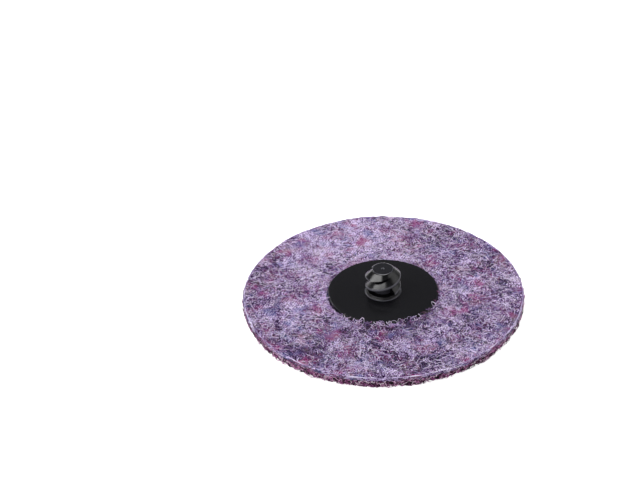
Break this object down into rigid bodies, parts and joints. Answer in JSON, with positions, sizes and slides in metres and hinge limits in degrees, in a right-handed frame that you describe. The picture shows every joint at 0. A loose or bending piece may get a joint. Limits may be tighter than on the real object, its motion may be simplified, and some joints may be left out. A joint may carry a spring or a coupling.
{
  "type": "surface conditioning disc",
  "caption": "Round surface conditioning disc: open abrasive web under a fleece-faced woven backing, with a moulded flange and threaded stud bonded in its centre.",
  "frame": {"origin": "centre of the working face, on the surface that the disc lies on", "axes": "+Z along the stud, away from the working face"},
  "size_m": [0.0764, 0.0764, 0.0115],
  "materials": {
    "abrasive_web": "open non-woven nylon web, resin bonded with maroon grit, matte",
    "fleece_backing": "lavender needled fleece over a diagonal woven scrim, matte",
    "hot_melt": "amber hot-melt adhesive",
    "button_plastic": "black moulded nylon, fine matte with a soft gloss on the thread"
  },
  "bodies": {
    "root": {"abrasive_web": "abrasive_web", "scrim_backing": "fleece_backing", "bond_film": "hot_melt", "drive_button": "button_plastic"}
  },
  "joints": []
}
